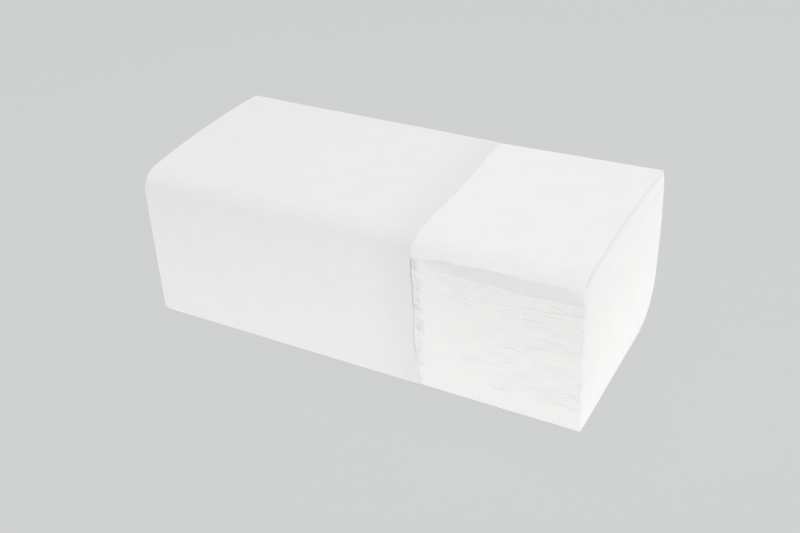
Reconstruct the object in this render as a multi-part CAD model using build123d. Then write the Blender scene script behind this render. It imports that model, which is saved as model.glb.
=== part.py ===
from build123d import *
import math
import os

# Each towel is one sheet of creped paper, folded once along its middle into two leaves. Pressed together,
# this many of them make the height of the stack.
sheet_length = 245.0
sheet_width = 210.0
towel_count = 200
stack_height = 88.0
# The folds face the front and the back by turns, and each one is closed round the free edges of its two
# neighbours, so a fold is four leaves high.
leaves_per_fold = 4
fold_nose = 0.13

# The settled stack keeps its upper back and lower front edges. The other two have gone soft: the upper
# front one is a shoulder, and the lower back one a heel. The top is crowned, highest towards the back.
edge_radius = 2.6
crown_radius = 590.0
crest_from_back = 31.0
shoulder_radius = 11.4
heel_radius = 26.0

# Half a sheet reaches from the upper back edge over the crown and some way down the shoulder, where the top
# towel ends. The next towel goes on from there to its fold, a smooth skirt above the rows of folds. The
# lower leaf of the top towel stops short of the fold that holds it.
skirt_height = 6.0
leaf_tuck = 1.0

# Past the band the free end of the stack springs open: up, with a rounder crown, out at the shoulder and
# at the back, and off the floor towards the heel by an angle in degrees.
spring_up = 2.9
sprung_crown_radius = 405.0
spring_out = 2.7
spring_back = 2.2
spring_tilt = 3.5

# The band is one strip of paper round the stack, lapped and glued at the back. Its inner edge was torn and
# wanders to both sides of the straight line that its width is measured to.
band_width = 161.0
band_thickness = 0.15
band_slack = 0.2
band_lap = 18.0
band_lap_height = 48.0
tear_wander = 2.6
# Where the tear passes, from back to front: shares of half the depth, and of the wander.
tear_line = [(1.1, -1.0), (0.4, -0.5), (-0.1, 0.6), (-0.4, 0.9), (-0.8, 0.1), (-1.1, -0.6)]

# Runs of edges that end nearer to each other than this meet there.
meeting_distance = 1e-5

folded_width = sheet_width / 2
leaf_thickness = stack_height / (2 * towel_count)
fold_height = leaves_per_fold * leaf_thickness
hairpin_height = 3 * leaf_thickness
band_room = band_slack + band_thickness
nose_out = spring_out - leaf_thickness
full_depth = folded_width + nose_out + max(spring_back, band_room + band_thickness)
front = nose_out - full_depth / 2
back = front + folded_width
base = band_room
left_end = -sheet_length / 2
right_end = sheet_length / 2
band_end = left_end + band_width
spring_start = band_end + tear_wander


def crown(spring):
    """The crown's axis and radius, with the crest at the stack's full height."""
    radius = crown_radius + (sprung_crown_radius - crown_radius) * spring
    return Vector(back - crest_from_back, base + stack_height + spring_up * spring - radius), radius


def rounding(spring, y, radius):
    """The axis, at this y, of an edge tangent to the crown from inside, and the angle where they meet."""
    top, top_radius = crown(spring)
    axis = Vector(y, top.Y + math.sqrt((top_radius - radius) ** 2 - (y - top.X) ** 2))
    return axis, math.degrees(math.atan2(axis.Y - top.Y, axis.X - top.X))


def corner_rounding(spring):
    """The upper back edge."""
    return rounding(spring, back - edge_radius, edge_radius)


def shoulder_rounding(spring):
    """The upper front edge, which moves out as the stack springs open."""
    return rounding(spring, front - spring_out * spring + shoulder_radius, shoulder_radius)


def heel_axis(spring):
    """The axis of the lower back edge, which is tangent to the back and to the underside."""
    tilt = math.radians(spring_tilt * spring)
    level = (folded_width - edge_radius - heel_radius) * math.sin(tilt)
    rise = (level + heel_radius - edge_radius) / math.cos(tilt)
    return Vector(back - heel_radius, base + edge_radius + rise)


def heel(spring=0.0, grow=0.0):
    """The lower back edge, from the underside to the back."""
    tilt = spring_tilt * spring
    return CenterArc(heel_axis(spring), heel_radius + grow, tilt - 90, 90 - tilt)


def foot(spring=0.0, grow=0.0):
    """The lower front edge, from the front to the underside."""
    axis = Vector(front + edge_radius, base + edge_radius)
    return CenterArc(axis, edge_radius + grow, 180, 90 + spring_tilt * spring)


def bottom_line(spring=0.0, grow=0.0):
    """The flat underside."""
    return Line(foot(spring, grow) @ 1, heel(spring, grow) @ 0)


def back_side(spring=0.0, grow=0.0):
    """The back, from the heel to the corner: straight where it is held, and bowed where it has sprung."""
    start = Vector(back + grow, heel_axis(spring).Y)
    end = Vector(back + grow, corner_rounding(spring)[0].Y)
    if spring == 0:
        return Line(start, end)
    return ThreePointArc(start, (start + end) / 2 + Vector(spring_back * spring, 0), end)


def corner(spring, turn, grow=0.0):
    """The upper back edge, turned this far from the back."""
    return CenterArc(corner_rounding(spring)[0], edge_radius + grow, 0, turn)


def top_line(depth, spring=0.0, tuck=0.0):
    """Crown and shoulder, from the corner to the nose, at a depth below the face of the top towel."""
    top, top_radius = crown(spring)
    start = corner_rounding(spring)[1]
    axis, turn = shoulder_rounding(spring)
    short = math.degrees(tuck / shoulder_radius)
    return [
        CenterArc(top, top_radius - depth, start, turn - start),
        CenterArc(axis, shoulder_radius - depth, turn, 180 - turn - short),
    ]


def past_lip(spring):
    """How much further it is to the nose than half a sheet reaches, from the corner."""
    return sum(edge.length for edge in top_line(0, spring)) - folded_width


def nose(depth, spring):
    """The rest of the shoulder, past the lip of the top towel."""
    turn = math.degrees(past_lip(spring) / shoulder_radius)
    return CenterArc(shoulder_rounding(spring)[0], shoulder_radius - depth, 180 - turn, turn)


def front_side(top_z, grow=0.0):
    """The straight front, from this height down to the foot."""
    return Line((front - grow, top_z), (front - grow, base + edge_radius))


def skirt_end():
    """The height where the skirt meets the first fold of the front."""
    return shoulder_rounding(0)[0].Y - skirt_height


def folded_back(spring):
    """Where the folds of the back lie: up the back, and round the corner as far as the top towel."""
    turn = math.degrees(math.asin(1 - hairpin_height / edge_radius))
    return [back_side(spring), corner(spring, turn)]


def folded_front(spring):
    """Where the folds of the front lie: down from the skirt, and round the foot."""
    return [front_side(skirt_end()), foot(spring)]


def dip(side, share):
    """The bottom of the crevice between two folds, at this share of the way along a side."""
    along = side % share
    return side @ share + Vector(-along.Y, along.X) * fold_nose


def folds(sides, held):
    """A row of rounded folds that touch these sides from inside, with the solid on the left of them.

    Sides that have sprung open keep the folds that they have where they are held.
    """
    dips, noses = [], []
    for side, same in zip(sides, held):
        count = max(1, round(same.length / fold_height))
        dips += [dip(side, i / count) for i in range(count)]
        noses += [side @ ((i + 0.5) / count) for i in range(count)]
    dips.append(dip(sides[-1], 1))
    return [ThreePointArc(dips[i], nose, dips[i + 1]) for i, nose in enumerate(noses)]


def turned(run):
    """The same run of edges, followed from its other end."""
    return [edge.reversed() for edge in reversed(run)]


def closed(runs):
    """One face from runs of edges in order, with a straight step wherever two runs don't meet."""
    edges = []
    for n, run in enumerate(runs):
        edges += run
        end = run[-1] @ 1
        start = runs[(n + 1) % len(runs)][0] @ 0
        if (start - end).length > meeting_distance:
            edges.append(Line(end, start))
    return make_face(Wire(edges))


def stack_section(spring):
    """All towels but the top one. A tongue, the upper leaf of the second towel, lies inside the top one."""
    tongue = [*top_line(leaf_thickness, spring, past_lip(spring)), nose(leaf_thickness, spring)]
    return closed(
        [
            [bottom_line(spring), heel(spring)],
            folds(folded_back(spring), folded_back(0)),
            top_line(hairpin_height, spring, leaf_tuck),
            turned(top_line(2 * leaf_thickness, spring, leaf_tuck)),
            tongue,
            [Line(tongue[-1] @ 1, (front + leaf_thickness, skirt_end()))],
            folds(folded_front(spring), folded_front(0)),
        ]
    )


def top_towel_section(spring):
    """The top towel: one leaf over the crown and shoulder, the fold at the back, and one leaf below."""
    outer = top_line(0, spring, past_lip(spring))
    inner = top_line(leaf_thickness, spring, past_lip(spring))
    lower_inner = top_line(2 * leaf_thickness, spring, leaf_tuck)
    lower_outer = top_line(hairpin_height, spring, leaf_tuck)
    bend = (outer[0] @ 0 + lower_outer[0] @ 0) / 2
    behind = outer[0] % 0 * -1
    inner_bend = ThreePointArc(inner[0] @ 0, bend + behind * leaf_thickness / 2, lower_inner[0] @ 0)
    outer_bend = ThreePointArc(lower_outer[0] @ 0, bend + behind * hairpin_height / 2, outer[0] @ 0)
    return closed([outer, turned(inner), [inner_bend], lower_inner, turned(lower_outer), [outer_bend]])


def sprung(section):
    """A length that is even as far as the band holds it, and opens from there to the free end."""
    places = [(left_end, 0), (spring_start, 0), (right_end, 1)]
    return loft([Plane.YZ.offset(x) * section(spring) for x, spring in places], ruled=True)


def outline(grow):
    """The held stack's outside, grown by this much all round."""
    upper = [back_side(0, grow), corner(0, corner_rounding(0)[1], grow), *top_line(-grow)]
    lower = [front_side(shoulder_rounding(0)[0].Y, grow), foot(0, grow)]
    return closed([[bottom_line(0, grow), heel(0, grow)], upper, lower])


towel_stack = sprung(stack_section)
top_towel = sprung(top_towel_section)

# The second end of the band lies on the first where it is glued, and the tear is the same above and below.
lap_face = Rectangle(band_thickness, band_lap)
lap = Pos(back + band_room + band_thickness / 2, base + band_lap_height) * lap_face
loop = outline(band_room) - outline(band_slack) + lap
sleeve = extrude(Plane.YZ.offset(left_end) * loop, band_width + tear_wander)
tear = Spline([(band_end + tear_wander * out, back * across) for across, out in tear_line])
behind, before = back * tear_line[0][0], back * tear_line[-1][0]
rest = Polyline(tear @ 1, (left_end, before), (left_end, behind), tear @ 0)
paper_band = sleeve & extrude(make_face(Wire([tear, *rest.edges()])), 2 * stack_height)

os.makedirs("parts", exist_ok=True)
export_step(towel_stack, "parts/towel_stack.step")
export_step(top_towel, "parts/top_towel.step")
export_step(paper_band, "parts/paper_band.step")
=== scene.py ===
import bpy
import math
import numpy as np
from mathutils import Matrix, Vector


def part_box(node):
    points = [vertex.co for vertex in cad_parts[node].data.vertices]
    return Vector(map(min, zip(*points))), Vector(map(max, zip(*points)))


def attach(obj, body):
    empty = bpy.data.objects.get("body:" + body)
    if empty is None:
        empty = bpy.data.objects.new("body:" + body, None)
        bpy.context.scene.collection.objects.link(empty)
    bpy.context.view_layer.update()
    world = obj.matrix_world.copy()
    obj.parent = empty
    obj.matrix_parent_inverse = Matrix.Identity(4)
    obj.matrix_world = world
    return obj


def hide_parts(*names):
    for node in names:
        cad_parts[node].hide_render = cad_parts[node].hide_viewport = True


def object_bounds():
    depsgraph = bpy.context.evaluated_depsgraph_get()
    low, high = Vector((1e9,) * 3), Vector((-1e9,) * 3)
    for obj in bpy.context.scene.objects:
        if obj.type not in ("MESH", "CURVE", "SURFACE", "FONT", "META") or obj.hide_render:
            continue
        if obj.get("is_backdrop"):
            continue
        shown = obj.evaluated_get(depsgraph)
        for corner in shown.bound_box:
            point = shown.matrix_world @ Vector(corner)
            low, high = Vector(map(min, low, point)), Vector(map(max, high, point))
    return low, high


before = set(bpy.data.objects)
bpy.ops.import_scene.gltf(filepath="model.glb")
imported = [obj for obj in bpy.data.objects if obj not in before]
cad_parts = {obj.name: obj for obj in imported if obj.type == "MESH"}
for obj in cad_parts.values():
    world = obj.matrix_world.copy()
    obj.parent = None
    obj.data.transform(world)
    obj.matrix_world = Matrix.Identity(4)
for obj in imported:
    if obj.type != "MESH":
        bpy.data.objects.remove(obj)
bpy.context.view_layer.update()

# The towels under the top one: sheets of white creped tissue, each folded once and laid into its neighbours, so that
# both long sides are rows of rounded folds and both ends are the cut edges of the leaves. They are only pressed
# together. The band holds them as far as it reaches, and past its edge they spring open.
mm = 0.001  # lengths are in mm until mesh_piece makes metres of them
low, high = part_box("towel_stack")
left_end, right_end, base = low.x / mm, high.x / mm, low.z / mm
folded_width, stack_height, leaf = 105.0, 88.0, 0.22
# How far the free end springs open at the top, the front and the back, and by how many degrees its underside rises.
spring_up, spring_out, spring_back, spring_tilt = 2.9, 2.7, 2.2, 3.5
front = low.y / mm + spring_out - leaf
back = front + folded_width
edge_radius, shoulder_radius, heel_radius = 2.6, 11.4, 26.0
crown_radius, sprung_crown_radius, crest_from_back = 590.0, 405.0, 31.0
band_edge = left_end + 161.0
chance = np.random.default_rng(20)


def ease(t):
    """From 0 to 1 with a soft start and end."""
    t = np.clip(t, 0, 1)
    return t * t * (3 - 2 * t)


def freed(x):
    """From 0 at the edge of the band to 1 at the free end."""
    return np.clip((x - band_edge) / (right_end - band_edge), 0, 1)


def sprung(x):
    """How far the towels have sprung open at this place along the stack, from 0 to 1. It begins under the band."""
    at_edge, run_up = 0.12, 32
    return at_edge * ease((x - band_edge + run_up) / run_up) + (1 - at_edge) * freed(x)


# Under the band a few columns are enough. They are closest at its torn edge, where each fold lets go of it.
tear_from, tear_to = band_edge - 6, band_edge + 10
columns = np.concatenate(
    [
        np.linspace(left_end, tear_from, 11)[:-1],
        np.linspace(tear_from, tear_to, 28)[:-1],
        np.linspace(tear_to, right_end, 58),
    ]
)
free, spread_at = freed(columns), sprung(columns)
# How loosely the folds lie: hardly under the band, and fully some way before the free end.
least_loose = 0.12
loose = least_loose + (1 - least_loose) * ease(free * 1.25)
front_folds, back_folds = 79, 82
fold_steps = (0, 0.1, 0.35, 0.65, 0.9)  # the rows that round a fold, as shares of its height


def drift(rows, alike, turn):
    """An uneven line along the stack for each row, with a knot every so many mm. Rows that are near are alike."""
    rough = chance.standard_normal((rows + 4 * alike, int((right_end - left_end) / turn) + 4))
    kernel = np.hanning(2 * alike + 3)[1:-1]
    kernel /= np.sqrt((kernel**2).sum())
    smooth = np.apply_along_axis(np.convolve, 0, rough, kernel, mode="valid")[:rows]
    place = (columns - left_end) / turn + 1
    knot = place.astype(int)
    t = ease(place - knot)
    return smooth[:, knot] * (1 - t) + smooth[:, knot + 1] * t


def fold_rows(count, slips):
    """Where the rows of a side of folds lie, as shares of its height, and how far they stand out of it in mm.

    A slip is a fold that lies deeper for some length: its number, its place, half its length and its depth.
    """
    wander = 0.6 * drift(count + 1, 6, 34.0) + 0.22 * drift(count + 1, 2, 15.0)
    lines = np.arange(count + 1)[:, None] + loose * wander
    proud = loose * (0.05 * drift(count, 1, 8.0) + 0.1 * drift(count, 5, 30.0))
    for n, x, half, depth in slips:
        length = np.exp(-(((columns - x) / half) ** 4))
        proud[n] -= depth * length
        proud[n + 1] += 0.35 * depth * length
    deepest, furthest = -0.14, 0.13
    proud = np.clip(proud, deepest, furthest)
    crevice = 0.03 + loose * (0.025 + 0.055 * np.abs(drift(count + 1, 1, 13.0)))
    places, outs = [], []
    for n in range(count):
        for q in fold_steps:
            places.append(lines[n] + q * (lines[n + 1] - lines[n]))
            sunk = crevice[n if q < 0.5 else n + 1] * (1 - math.sqrt(1 - (2 * q - 1) ** 2))
            level = np.minimum(proud[n], proud[max(n - 1, 0)]) if q == 0 else proud[n]
            outs.append(level - sunk)
    places.append(lines[count])
    outs.append(proud[count - 1] - crevice[count])
    shares = (np.array(places) - lines[0]) / (lines[count] - lines[0])
    return shares, np.array(outs)


def fold_numbers(count):
    """The number of the fold that each row of a side belongs to."""
    return np.append(np.repeat(np.arange(count), len(fold_steps)), count - 1)


# In front many of the upper folds lie deeper for a short length, fewer further down, and hardly any near the band.
slips = [
    (int(front_folds * (1 - 0.15 * chance.random())) - 2, x, chance.uniform(3, 8.5), chance.uniform(0.08, 0.22))
    for x in chance.uniform(band_edge + 20, right_end - 2, 44)
]
slips += [
    (front_folds - 2 - int(5 * chance.random()), x, chance.uniform(3, 8), chance.uniform(0.1, 0.2))
    for x in chance.uniform(band_edge + 9, right_end - 2, 26)
]
slips += [
    (int(front_folds * chance.uniform(0.12, 0.86)), x, chance.uniform(2.5, 7), chance.uniform(0.06, 0.18))
    for x in right_end - 2 - 58 * chance.random(44) ** 1.4
]
shares, outs = fold_rows(front_folds, slips)


def pushed_out(z):
    """How much the folds push the front of the band out at this height, from 0 at the edges to 1."""
    return ease((z - 8) / 30) * ease((stack_height - 12 - z) / 14)


def nearing(past):
    """From 0 to 1 over the last stretch before the tear."""
    run_up = 30
    return ease((past + run_up) / run_up) ** 1.6


# At the tear the folds push the band out. Past it they lie deep for some mm, unevenly, and then spring out, three of
# them sooner than the others, as tufts. Towards the free end they lie flat again.
fold_z = np.linspace(base, base + 69.5, front_folds)
tear_heights, tear_past_edge = [2.4, 11.6, 18.7, 53, 70], [1.6, -0.7, -2.1, -1.9, -2.4]
past_tear = columns - (band_edge + np.interp(fold_z, tear_heights, tear_past_edge))[:, None]
push_height, swell_height, hollow_depth = 0.5, 0.95, 1.5
tuft_heights, tuft_half = (14, 46, 67), 1.4
tufts = sum(np.exp(-(((fold_z - z) / tuft_half) ** 2)) for z in tuft_heights)
comb = np.convolve(chance.standard_normal(front_folds + 2), [0.4, 0.8, 0.4], "valid")
let_go = np.convolve(chance.uniform(1.5, 6.0, front_folds + 6), np.hanning(9)[1:-1] / 4, "valid")
let_go = (let_go + 1.0 + 0.3 * comb - 2.2 * tufts)[:, None]
swell = swell_height * ease(fold_z / 18) * (1 - 0.4 * ease((fold_z - 44) / 26))
deep = hollow_depth * ease((fold_z - 12) / 10) * (1 - 0.6 * tufts)
sprung_out = np.clip((past_tear - 0.4) / let_go, 0, 1) ** 1.15
swollen = push_height * pushed_out(fold_z)[:, None] * nearing(past_tear)
swollen += (swell + deep)[:, None] * sprung_out
swollen -= deep[:, None] * ease((past_tear + 2.5) / 2.5) * (0.25 + 0.75 * ease(past_tear / 1.4))
swollen += np.outer(0.22 * deep * comb, np.exp(-(((past_tear[front_folds // 2] - 3.5) / 2.6) ** 2)))
swollen += 0.35 * tufts[:, None] * np.exp(-(((past_tear - 4.5) / 2.4) ** 2))
swollen *= 1 - 0.95 * np.outer(ease((fold_z - 6) / 20), ease((free - 0.25) / 0.75))
front_fold = fold_numbers(front_folds)
outs = (outs + swollen[front_fold]) * ease(front_fold / 3)[:, None]

# The back has such folds too, with deeper slips, and lies flat at the heel.
back_slips = [
    (int(back_folds * chance.uniform(0.3, 0.9)), x, chance.uniform(4, 9), chance.uniform(0.2, 0.5))
    for x in chance.uniform(band_edge + 14, right_end - 4, 24)
]
back_shares, back_outs = fold_rows(back_folds, back_slips)
back_outs *= ease(fold_numbers(back_folds) / 9)[:, None]
back_outs = np.minimum(back_outs, 0.1)


def arc(y, z, radius, start, turn):
    """A rounded edge of the section: rows of y, z and the way out."""
    angle = np.radians(start + turn * np.linspace(0, 1, 40))
    way = np.stack([np.cos(angle), np.sin(angle)], -1)
    return np.hstack([np.array([y, z]) + radius * way, way])


def straight(start, end, way):
    """A flat side of the section."""
    return np.array([[*start, *way], [*end, *way]])


def along(path):
    """The way gone at each point of a path."""
    return np.concatenate([[0], np.cumsum(np.hypot(*np.diff(path[:, :2], axis=0).T))])


def follow(path, share):
    """Points at these shares of the way along a path, with the way out."""
    gone = along(path)
    return np.stack([np.interp(share * gone[-1], gone, line) for line in path.T], -1)


def crown(spread):
    """The axis and radius of the crowned top, where the stack has sprung this far."""
    radius = crown_radius + (sprung_crown_radius - crown_radius) * spread
    return back - crest_from_back, base + stack_height + spring_up * spread - radius, radius


def crown_edge(y, radius, spread):
    """The axis, at this y, of an edge tangent to the crown from inside, and the angle where they meet."""
    top_y, top_z, top_radius = crown(spread)
    z = top_z + math.sqrt((top_radius - radius) ** 2 - (y - top_y) ** 2)
    return y, z, math.degrees(math.atan2(z - top_z, y - top_y))


def back_edge(spread):
    """The axis of the upper back edge, and the angle where the crown meets it."""
    return crown_edge(back - edge_radius, edge_radius, spread)


def shoulder_edge(spread):
    """The axis of the upper front edge, and the angle where the crown meets it."""
    return crown_edge(front - spring_out * spread + shoulder_radius, shoulder_radius, spread)


def shoulder(depth, spread, start):
    """The upper front edge from this angle down to the nose, at a depth below its face."""
    y, z, _ = shoulder_edge(spread)
    return arc(y, z, shoulder_radius - depth, start, 180 - start)


def top_line(depth, spread):
    """Crown and shoulder from the back corner to the nose, at a depth below the top face."""
    y, z, radius = crown(spread)
    start, end = back_edge(spread)[2], shoulder_edge(spread)[2]
    return np.vstack([arc(y, z, radius - depth, start, end - start), shoulder(depth, spread, end)[1:]])


def heel(grow, spread):
    """The soft lower back edge. Where the stack has sprung, the underside rises towards it."""
    tilt = spring_tilt * spread
    level = (folded_width - edge_radius - heel_radius) * math.sin(math.radians(tilt))
    z = base + edge_radius + (level + heel_radius - edge_radius) / math.cos(math.radians(tilt))
    return arc(back - heel_radius, z, heel_radius + grow, tilt - 90, 90 - tilt)


# The fold of the top towel isn't quite in the middle of the sheet: its upper leaf is this much longer than half of it,
# most of all at the band and at the free corner. It stands off the second towel, whose skirt goes on from under it to
# the folds, and lies back there. The tuck is how far the skirt goes on under the lip, in degrees of the shoulder.
longer = 1.4 + 2.2 * (1 - ease((columns - band_edge) / 18)) + 1.4 * ease((columns - right_end + 7) / 7)
skirt = 2.6 + 1.6 * ease(free / 0.9) + 0.35 * drift(1, 1, 9.0)[0] * ease(free / 0.1)
recess = 0.08 + 1.3 * ease(free / 0.6)
groove = 0.05 + 0.4 * ease(free / 0.2)
skirt_rows, tuck = 22, 14
stack_rows = len(outs) + skirt_rows
ledge_rows = stack_rows - len(back_outs)
across = np.linspace(0, 1, 17)
# The top towel's two leaves and the tongue between them, a leaf of the second towel, are a hairpin of three leaves.
hairpin = 3 * leaf
hairpin_turn = math.degrees(math.asin(1 - hairpin / edge_radius))

front_side, back_side, top_side, bottom_side, tongue = [], [], [], [], []
for k, spread in enumerate(spread_at):
    under_top = top_line(hairpin, spread)
    short = along(top_line(0, spread))[-1] - folded_width - longer[k]
    lip_turn = 180 - math.degrees(short / shoulder_radius)
    under_lip = shoulder(leaf + recess[k], spread, lip_turn - tuck)[0, :2]
    tilt = spring_tilt * spread
    foot = arc(front + edge_radius, base + edge_radius, edge_radius, 270 + tilt, -90 - tilt)
    upright = straight((front, base + edge_radius), (front, shoulder_edge(spread)[1] - skirt[k]), (-1, 0))
    folds = follow(np.vstack([foot, upright[1:]]), shares[:, k])
    folds = folds[:, :2] + folds[:, 2:] * outs[:, k, None]
    climb = np.linspace(0, 1, skirt_rows + 1)[1:, None]
    hollow = folds[-1] + (under_lip - folds[-1]) * climb
    hollow[:, :1] += groove[k] * np.sin(np.pi * climb**0.6)
    front_side.append(np.vstack([folds, hollow]))

    corner_y, corner_z, _ = back_edge(spread)
    soft = heel(0, spread)
    climb = np.linspace(0, 1, 24)[1:]
    bowed_y = back + 4 * spring_back * spread * climb * (1 - climb)
    bowed_z = soft[-1, 1] + (corner_z - soft[-1, 1]) * climb
    bowed = np.hstack([np.stack([bowed_y, bowed_z], -1), np.tile([1.0, 0.0], (len(climb), 1))])
    rounded = arc(corner_y, corner_z, edge_radius, 0, hairpin_turn)
    folds = follow(np.vstack([soft, bowed, rounded[1:]]), back_shares[:, k])
    folds = folds[:, :2] + folds[:, 2:] * back_outs[:, k, None]
    ledge = np.linspace(folds[-1], under_top[0, :2], ledge_rows + 1)[1:]
    back_side.append(np.vstack([folds, ledge]))

    covered = 1 - (short + math.radians(tuck) * shoulder_radius) / along(under_top)[-1]
    top = follow(under_top, covered * (1 - across))[:, :2]
    top[0] = front_side[-1][-1]
    top_side.append(top)
    bottom_side.append(np.linspace(front_side[-1][0], back_side[-1][0], len(across)))
    tongue.append(follow(top_line(1.5 * leaf, spread), np.linspace(0.004, covered - 0.01, 18)))


def blunted(y, z):
    """How far the left end is pushed in at its upper back and lower front corners."""
    radius, reach = 5.0, 9
    upper = np.clip(y - back + radius, 0, radius)
    lower = np.clip(base + radius - z, 0, radius)
    upper = (radius - np.sqrt(radius**2 - upper**2)) * np.exp(-(((base + stack_height - z) / reach) ** 2))
    lower = (radius - np.sqrt(radius**2 - lower**2)) * np.exp(-(((y - front) / reach) ** 2))
    return upper + lower


# The stack is a box of grids: the front and back folds, the top and bottom, and the two cut ends, which are filled
# with the lines of the leaves from front to back.
up, through = np.linspace(0, 1, stack_rows)[:, None, None], across[None, :, None]
box = np.zeros((stack_rows, len(across), len(columns), 3))
box[..., 0] = columns
for k, (fore, rear, roof, bed) in enumerate(zip(front_side, back_side, top_side, bottom_side)):
    corners = (1 - through) * (1 - up) * fore[0] + through * (1 - up) * rear[0]
    corners = corners + (1 - through) * up * fore[-1] + through * up * rear[-1]
    box[:, :, k, 1:] = (1 - through) * fore[:, None] + through * rear[:, None] + (1 - up) * bed + up * roof - corners
leaf_ends = 0.03 * chance.standard_normal((stack_rows, 2))
for end, sign in ((0, -1), (-1, 1)):
    wavy = 0.1 * np.sin(5 * across + sign) * np.sin(4 * up[..., 0] + 1)
    box[:, :, end, 0] += sign * (leaf_ends @ np.stack([1 - across, across]) + wavy - 0.1)
# At the free end the leaves under the top towel lie a little further in.
upper_edge = follow(top_line(hairpin, 1), np.linspace(0, 1, 160))[:, :2]
below_top = np.min(np.linalg.norm(box[:, :, -1, None, 1:] - upper_edge, axis=-1), axis=-1)
box[:, :, -1, 0] -= (1.5 - 0.3 * across) * np.exp(-((below_top / 2.7) ** 2))
box[:, :, 0, 0] += blunted(box[:, :, 0, 1], box[:, :, 0, 2])
# The ends of the front folds aren't quite flush.
fold_ends = np.append(0.07 * chance.standard_normal(front_folds)[front_fold], np.zeros(skirt_rows))
box[:, :, -1, 0] += np.outer(fold_ends, np.exp(-across / 0.04))


def quads(number):
    """The faces between the points of a grid."""
    return np.stack([number[:-1, :-1], number[1:, :-1], number[1:, 1:], number[:-1, 1:]], -1).reshape(-1, 4)


skin = np.zeros(box.shape[:3], bool)
skin[[0, -1]] = skin[:, [0, -1]] = skin[:, :, [0, -1]] = True
number = np.full(box.shape[:3], -1)
number[skin] = np.arange(skin.sum())
plain, cut, folded = range(3)
sides = [
    (quads(number[:, 0])[:, ::-1], folded),
    (quads(number[:, -1]), folded),
    (quads(number[0]), plain),
    (quads(number[-1])[:, ::-1], plain),
    (quads(number[:, :, 0]), cut),
    (quads(number[:, :, -1])[:, ::-1], cut),
]
stack_points, stack_faces = box[skin], np.concatenate([faces for faces, finish in sides])


def shell(x, section, thickness):
    """A closed sheet: faces on both sides of a grid of points, and the rim round them.

    The grid has its places along the stack in x, and its y, z and way out in section.
    """
    middle = np.concatenate([x[..., None], section[..., :2]], -1)
    way = np.concatenate([0 * x[..., None], section[..., 2:]], -1)
    points = np.concatenate([middle + way * thickness / 2, middle - way * thickness / 2]).reshape(-1, 3)
    number = np.arange(2 * x.size).reshape(2, *x.shape)
    rim = [np.concatenate([n[0], n[1:, -1], n[-1, -2::-1], n[-2::-1, 0]]) for n in number]
    faces = np.concatenate([quads(number[0]), quads(number[1])[:, ::-1], quads(np.stack(rim))[:, ::-1]])
    a, b, c = points[faces[0, :3]]
    return points, faces if np.dot(np.cross(b - a, c - a), way[0, 0]) > 0 else faces[:, ::-1]


tongue = np.stack(tongue, 1)
tongue_points, tongue_faces = shell(np.tile(columns, (len(tongue), 1)), tongue, 0.8 * leaf)
finishes = [np.full(len(faces), finish) for faces, finish in sides] + [np.full(len(tongue_faces), plain)]


class Shade:
    """A socket of a material. Sums, differences and products of sockets and numbers add the Math nodes."""

    def __init__(self, tree, socket=None):
        self.tree, self.socket = tree, socket

    def node(self, kind, settings=None, sockets=None, output=0):
        made = self.tree.nodes.new(kind)
        for name, value in (settings or {}).items():
            setattr(made, name, value)
        for name, value in (sockets or {}).items():
            if isinstance(value, Shade):
                self.tree.links.new(value.socket, made.inputs[name])
            else:
                made.inputs[name].default_value = value
        return Shade(self.tree, made.outputs[output] if made.outputs else None)

    def maths(self, operation, a, b):
        return self.node("ShaderNodeMath", {"operation": operation}, {0: a, 1: b})

    def __add__(self, other):
        return self.maths("ADD", self, other)

    def __sub__(self, other):
        return self.maths("SUBTRACT", self, other)

    def __rsub__(self, other):
        return self.maths("SUBTRACT", other, self)

    def __mul__(self, other):
        return self.maths("MULTIPLY", self, other)

    __radd__, __rmul__ = __add__, __mul__


def paper(name, light, dark, grain, stretch, relief, depth, painted_shade=None):
    """Matte paper: fibres clouded between two whites, with a grain of this size in mm, drawn out by this much.

    With painted_shade, the colour turns to a darker white between two places along the stack: painted shade.
    """
    material = bpy.data.materials.new(name)
    material.use_nodes = True
    material.node_tree.nodes.clear()
    brush = Shade(material.node_tree)
    place = brush.node("ShaderNodeTexCoord", output="Object")
    drawn = brush.node("ShaderNodeVectorMath", {"operation": "MULTIPLY"}, {0: place, 1: stretch})
    ridges = brush.node("ShaderNodeTexNoise", None, {"Vector": drawn, "Scale": 1 / (grain * mm), "Detail": 3.0})
    fine = {"Vector": place, "Scale": 900.0, "Detail": 5.0, "Roughness": 0.65}
    fibres = brush.node("ShaderNodeTexNoise", None, fine)
    clouds = brush.node("ShaderNodeTexNoise", None, {"Vector": place, "Scale": 95.0, "Detail": 4.0})
    soft_step = {"interpolation_type": "SMOOTHSTEP"}
    mottle = 0.55 * clouds + 0.3 * fibres + 0.15 * ridges
    mottle = brush.node("ShaderNodeMapRange", soft_step, {"Value": mottle, "From Min": 0.36, "From Max": 0.64})
    blend = {"data_type": "RGBA"}
    colour = brush.node("ShaderNodeMix", blend, {"Factor": mottle, 6: dark, 7: light}, output=2)
    # Painted shade: between two places along the stack the colour darkens to a shaded white.
    if painted_shade:
        first, last, grey = painted_shade
        far = brush.node("ShaderNodeSeparateXYZ", None, {"Vector": place})
        span = {"Value": far, "From Min": first * mm, "From Max": last * mm}
        far = brush.node("ShaderNodeMapRange", soft_step, span)
        colour = brush.node("ShaderNodeMix", blend, {"Factor": far, 6: colour, 7: grey}, output=2)
    height = relief * ridges + (1 - relief) * fibres
    bump = brush.node("ShaderNodeBump", None, {"Height": height, "Distance": depth * mm, "Strength": 0.6})
    surface = {"Base Color": colour, "Roughness": 0.8 + 0.2 * fibres, "Normal": bump, "Specular IOR Level": 0.12}
    surface = brush.node("ShaderNodeBsdfPrincipled", None, surface)
    brush.node("ShaderNodeOutputMaterial", None, {"Surface": surface})
    return material


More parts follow.
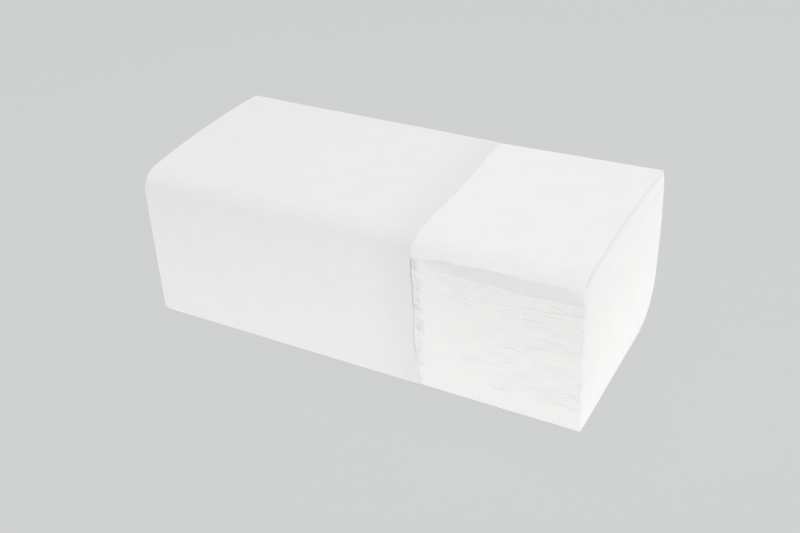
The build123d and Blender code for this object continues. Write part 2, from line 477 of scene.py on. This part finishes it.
tissue = paper(
    "creped tissue",
    light=(0.908, 0.908, 0.902, 1),
    dark=(0.888, 0.888, 0.882, 1),
    grain=0.55,
    stretch=(1.0, 0.14, 0.14),
    relief=0.65,
    depth=0.05,
)
cut_tissue = paper(
    "cut leaf edges",
    light=(0.908, 0.908, 0.9, 1),
    dark=(0.892, 0.892, 0.884, 1),
    grain=0.22,
    stretch=(0.2, 0.05, 1.0),
    relief=0.6,
    depth=0.04,
)
folded_tissue = paper(
    "folded tissue",
    light=(0.91, 0.91, 0.902, 1),
    dark=(0.892, 0.892, 0.884, 1),
    grain=0.4,
    stretch=(0.1, 1.0, 1.0),
    relief=0.55,
    depth=0.03,
)


def mesh_piece(name, points, faces, materials, finishes=None):
    """A new object from points in mm, with smooth faces and crisp edges, and the number of each face's material."""
    mesh = bpy.data.meshes.new(name)
    mesh.from_pydata((points * mm).tolist(), [], faces.tolist())
    for material in materials:
        mesh.materials.append(material)
    if finishes is not None:
        mesh.polygons.foreach_set("material_index", finishes)
    crisp_from = 62
    mesh.shade_smooth()
    mesh.set_sharp_from_angle(angle=math.radians(crisp_from))
    mesh.validate()
    piece = bpy.data.objects.new(name, mesh)
    bpy.context.scene.collection.objects.link(piece)
    return piece


towel_stack = mesh_piece(
    "interfolded_towels",
    np.concatenate([stack_points, tongue_points]),
    np.concatenate([stack_faces, tongue_faces + len(stack_points)]),
    [tissue, cut_tissue, folded_tissue],
    np.concatenate(finishes).astype(np.int32),
)
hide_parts("towel_stack")
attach(towel_stack, "root")


# The top towel: one sheet of the same tissue. Its fold lies along the upper back edge, one leaf goes over the crown
# and ends loose on the front shoulder, and the other is held in the fold of the towel below.
overhang, corner_lift, lip_lift, wave = 0.06, 0.08, 0.6, 0.05
upper_share = np.append(np.linspace(1, 0.88, 26)[:-1], np.linspace(0.88, 0, 34))
waves = drift(len(upper_share), 9, 22.0)
frayed = 0.0018 * drift(1, 1, 7.0)[0] + 0.002 * drift(1, 1, 2.6)[0]
at_lip = np.clip((upper_share - 0.95) / 0.05, 0, 1) ** 2
sheet = []
for k, spread in enumerate(spread_at):
    reach = (folded_width + longer[k]) / along(top_line(0, spread))[-1]
    upper = follow(top_line(0.5 * leaf, spread), upper_share * (reach + frayed[k] * ease(free[k] / 0.05)))
    lift = corner_lift * ease((columns[k] - right_end + 16) / 16) * ease(upper_share / 0.15)
    lift = lift + wave * loose[k] * waves[:, k] * ease(upper_share / 0.1)
    lift = lift + (lip_lift + 0.12 * waves[0, k]) * ease(free[k] / 0.3) * at_lip
    upper[:, :2] += upper[:, 2:] * np.maximum(lift, 0)[:, None]
    bend_y, bend_z = top_line(1.5 * leaf, spread)[0, :2]
    bend = arc(bend_y, bend_z, leaf, back_edge(spread)[2], -180)[4:-3:4]
    lower = follow(top_line(2.5 * leaf, spread), np.linspace(0, 0.9, 30))
    lower[:, 2:] *= -1
    sheet.append(np.vstack([upper, bend, lower]))
sheet = np.stack(sheet, 1)
sheet_x = np.tile(columns, (len(sheet), 1))
sheet_x[:, -1] += overhang + 0.02 * chance.standard_normal(len(sheet))
sheet_x[:, 0] += blunted(sheet[:, 0, 0], sheet[:, 0, 1])
top_towel = mesh_piece("top_towel_sheet", *shell(sheet_x, sheet, leaf), [tissue])
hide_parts("top_towel")
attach(top_towel, "root")


# The band: one strip of white wrapping paper, drawn tight round the towels and glued to itself at the back. Its left
# edge is cut flush with the stack, and its right edge was torn, so it is ragged, thin and a little flared.
band_thickness, band_slack, band_lap, lap_start = 0.15, 0.2, 18.0, base + 39.0
band_grow = band_slack + band_thickness / 2
# Where the tear passes: mm along the strip from its inner end, and mm past the straight edge of the band's width.
tear_line = [(0, -3.9), (50, -3.9), (69, -2.7), (95, -0.9), (107, -0.1), (120, -0.9), (139, -1.8), (156, -2.6)]
tear_line += [(181, -1.9), (216, -2.1), (223, -0.7), (232, 1.6), (242, 1.6), (315, -3.9), (400, -3.9)]


def way_round(spread):
    """The strip's path round the stack, sprung this far, from its inner end to its outer one."""
    corner_y, corner_z, corner_turn = back_edge(spread)
    over = top_line(-band_grow, spread)
    nose_y, nose_z = over[-1, :2]
    foot_y, foot_z = front - band_grow, base + edge_radius
    fall = np.linspace(0, 1, 60)[1:]
    down = np.stack([nose_y + (foot_y - nose_y) * ease(fall / 0.6), nose_z + (foot_z - nose_z) * fall], -1)
    soft = heel(band_grow, 0)
    return np.vstack(
        [
            straight((back + band_grow, lap_start), (back + band_grow, corner_z), (1, 0)),
            arc(corner_y, corner_z, edge_radius + band_grow, 0, corner_turn)[1:],
            over[1:],
            np.hstack([down, np.tile([-1.0, 0.0], (len(down), 1))]),
            arc(front + edge_radius, foot_z, edge_radius + band_grow, 180, 90)[1:],
            straight((front + edge_radius, base - band_grow), soft[0, :2], (0, -1))[1:],
            soft[1:],
            straight(soft[-1, :2], (back + band_grow, lap_start + band_lap), (1, 0))[1:],
        ]
    )


# The strip has stations all along its length. Across its width the rows are closest at the tear.
station_pitch = 0.75
closed = way_round(0)
strip_length = along(closed)[-1]
stations = np.linspace(0, 1, int(strip_length / station_pitch))
station, spots = follow(closed, stations), stations * strip_length
station_z, facing_back, facing_up = station[:, 1], station[:, 2], station[:, 3]
near_tear, at_tear = 0.82, 0.975
stretch = np.concatenate(
    [
        np.linspace(0, near_tear, 17)[:-1],
        np.linspace(near_tear, at_tear, 16)[:-1],
        np.linspace(at_tear, 1, 14),
    ]
)
# The tear wanders across the stack, with chips of a few sizes along it.
strip_end = band_edge + np.interp(spots, *np.array(tear_line).T)
chips = 0
for size, pitch in ((0.16, 5.3), (0.16, 2.1), (0.1, 0.9)):
    knots = np.arange(0, strip_length + pitch, pitch)
    chips = chips + size * np.interp(spots, knots, chance.standard_normal(int(strip_length / pitch) + 2))
strip_end = (strip_end + chips)[:, None]
strip_start = (left_end + blunted(station[:, 0], station_z))[:, None]
strip_x = strip_start + (strip_end - strip_start) * stretch
# It follows the towels as they begin to spring open. At the tear it lies on them, apart from the front and the back,
# where it stands off a little. Under the stack it is flat, and the lap lies over the inner end.
some = 0.2
strip = station[:, None] + (follow(way_round(some), stations) - station)[:, None] * (sprung(strip_x) / some)[..., None]
front_span = np.clip(-facing_back, 0, 1) ** 6 * pushed_out(station_z)
back_span = np.clip(facing_back, 0, 1) ** 6 * ease((station_z - 40) / 14) * ease((stack_height - station_z) / 14)
stands = np.clip(front_span + back_span, 0, 1)[:, None]
close = ease((strip_x - strip_end + 14) / 14)
buckles = 0.07 * np.sin(strip_x / 17 + spots[:, None] / 29 + 1) + 0.05 * np.sin(strip_x / 9 - spots[:, None] / 13)
buckles *= 1 - np.clip(-facing_up, 0, 1)[:, None]
lapped = (band_thickness + 0.02) * ease((spots - strip_length + band_lap + 7) / 6)
lifts = 0.45 * nearing(strip_x - strip_end) * stands - band_slack * close * (1 - 0.3 * stands)
lifts = lifts + buckles * (1 - close) + lapped[:, None]
strip[..., :2] += strip[..., 2:] * lifts[..., None]
feathered = band_thickness * (0.3 + 0.7 * ease((strip_end - strip_x) / 1.1))[..., None]
wrapping = paper(
    "wrapping paper",
    light=(0.87, 0.87, 0.866, 1),
    dark=(0.854, 0.854, 0.85, 1),
    grain=0.7,
    stretch=(1.0, 1.0, 1.0),
    relief=0.4,
    depth=0.03,
    # Painted shade: the band's colour darkens over the last 28 mm before the tear, in place of the shading near its
    # flared edge.
    painted_shade=(band_edge - 28, band_edge, (0.818, 0.818, 0.814, 1)),
)
paper_band = mesh_piece("torn_paper_band", *shell(strip_x, strip, feathered), [wrapping])
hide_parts("paper_band")
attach(paper_band, "root")


# The stage: a pale grey floor that runs out of view on all sides. It throws back light as a light table does: like
# white card everywhere, and a little more from below, near the stack.
floor_grey, floor_card = (0.637, 0.651, 0.651, 1), (0.86, 0.86, 0.86, 1)
floor_reach, floor_glow, glow_from, glow_to, flatness = 4, 0.34, 0.14, 0.45, 0.86


def in_sight(brush):
    """1 for what the camera sees, also mirrored or through glass, and 0 for the light that falls on the paper."""
    kinds = ("Is Camera Ray", "Is Glossy Ray", "Is Transmission Ray")
    direct, mirrored, through_glass = (brush.node("ShaderNodeLightPath", output=kind) for kind in kinds)
    return direct + mirrored + through_glass


floor_mesh = bpy.data.meshes.new("floor")
floor_corners = [(x * floor_reach, y * floor_reach, 0) for x, y in ((-1, -1), (1, -1), (1, 1), (-1, 1))]
floor_mesh.from_pydata(floor_corners, [], [(0, 1, 2, 3)])
floor = bpy.data.objects.new("floor", floor_mesh)
bpy.context.scene.collection.objects.link(floor)
floor_paint = bpy.data.materials.new("pale grey floor")
floor_paint.use_nodes = True
floor_paint.node_tree.nodes.clear()
brush = Shade(floor_paint.node_tree)
spot = brush.node("ShaderNodeTexCoord", output="Object")
distance = brush.node("ShaderNodeVectorMath", {"operation": "LENGTH"}, {0: spot}, output=1)
glow = brush.node(
    "ShaderNodeMapRange",
    {"interpolation_type": "SMOOTHSTEP"},
    {"Value": distance, "From Min": glow_from, "From Max": glow_to, "To Min": floor_glow, "To Max": 0.0},
)
glow = brush.node("ShaderNodeEmission", None, {"Color": glow, "Strength": 1.0})
card = brush.node("ShaderNodeBsdfDiffuse", None, {"Color": floor_card})
table = brush.node("ShaderNodeAddShader", None, {0: card, 1: glow})
shaded = brush.node("ShaderNodeBsdfDiffuse", None, {"Color": floor_grey})
even = brush.node("ShaderNodeEmission", None, {"Color": floor_grey, "Strength": 1.0})
looked_at = brush.node("ShaderNodeMixShader", None, {0: flatness, 1: shaded, 2: even})
mixed = brush.node("ShaderNodeMixShader", None, {0: in_sight(brush), 1: table, 2: looked_at})
brush.node("ShaderNodeOutputMaterial", None, {"Surface": mixed})
floor_mesh.materials.append(floor_paint)
floor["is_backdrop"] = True

# Light: an even tent all round, a wide soft box overhead, and low ones at the back right and in front. Each lamp has
# its place, the point that it looks at, its size and its power.
world = bpy.data.worlds.new("tent")
bpy.context.scene.world = world
world.use_nodes = True
world.node_tree.nodes.clear()
brush = Shade(world.node_tree)
tent = brush.node("ShaderNodeBackground", None, {"Color": (1, 1, 1, 1), "Strength": 0.6})
beyond = brush.node("ShaderNodeBackground", None, {"Color": floor_grey, "Strength": 1.0})
mixed = brush.node("ShaderNodeMixShader", None, {0: in_sight(brush), 1: tent, 2: beyond})
brush.node("ShaderNodeOutputWorld", None, {"Surface": mixed})
for name, place, aim, size, power in (
    ("overhead soft box", (0.0, 0.0, 0.85), (0, 0, 0.05), 0.7, 2.41),
    ("right soft box", (0.9, 0.45, 0.2), (0.12, 0, 0.04), 0.4, 2.0),
    ("front soft box", (0.1, -1.02, 0.3), (0, -0.05, 0.03), 0.5, 1.13),
):
    light = bpy.data.lights.new(name, "AREA")
    light.size, light.energy = size, power
    lamp = bpy.data.objects.new(name, light)
    bpy.context.scene.collection.objects.link(lamp)
    lamp.location = place
    lamp.rotation_euler = (lamp.location - Vector(aim)).to_track_quat("Z", "Y").to_euler()

# The camera looks down at the free end from the front right. Its place and its three axes are those that were fitted
# to the photograph, and its lens is given in pixels of a picture of this width.
camera_right, camera_down, camera_ahead = (
    (0.87322, 0.48532, -0.04406),
    (0.22252, -0.47754, -0.84996),
    (-0.43354, 0.73241, -0.525),
)
camera_place = (0.26447, -0.44807, 0.35185)
focal_pixels, picture_width = 1148.1, 800
camera = bpy.data.objects.new("camera", bpy.data.cameras.new("camera"))
bpy.context.scene.collection.objects.link(camera)
camera.data.sensor_width = 36.0
camera.data.lens = focal_pixels * camera.data.sensor_width / picture_width
camera_rows = [(camera_right[n], -camera_down[n], -camera_ahead[n], camera_place[n]) for n in range(3)]
camera.matrix_world = Matrix([*camera_rows, (0, 0, 0, 1)])
bpy.context.scene.camera = camera
bpy.context.scene.view_settings.view_transform = "Standard"

low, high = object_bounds()
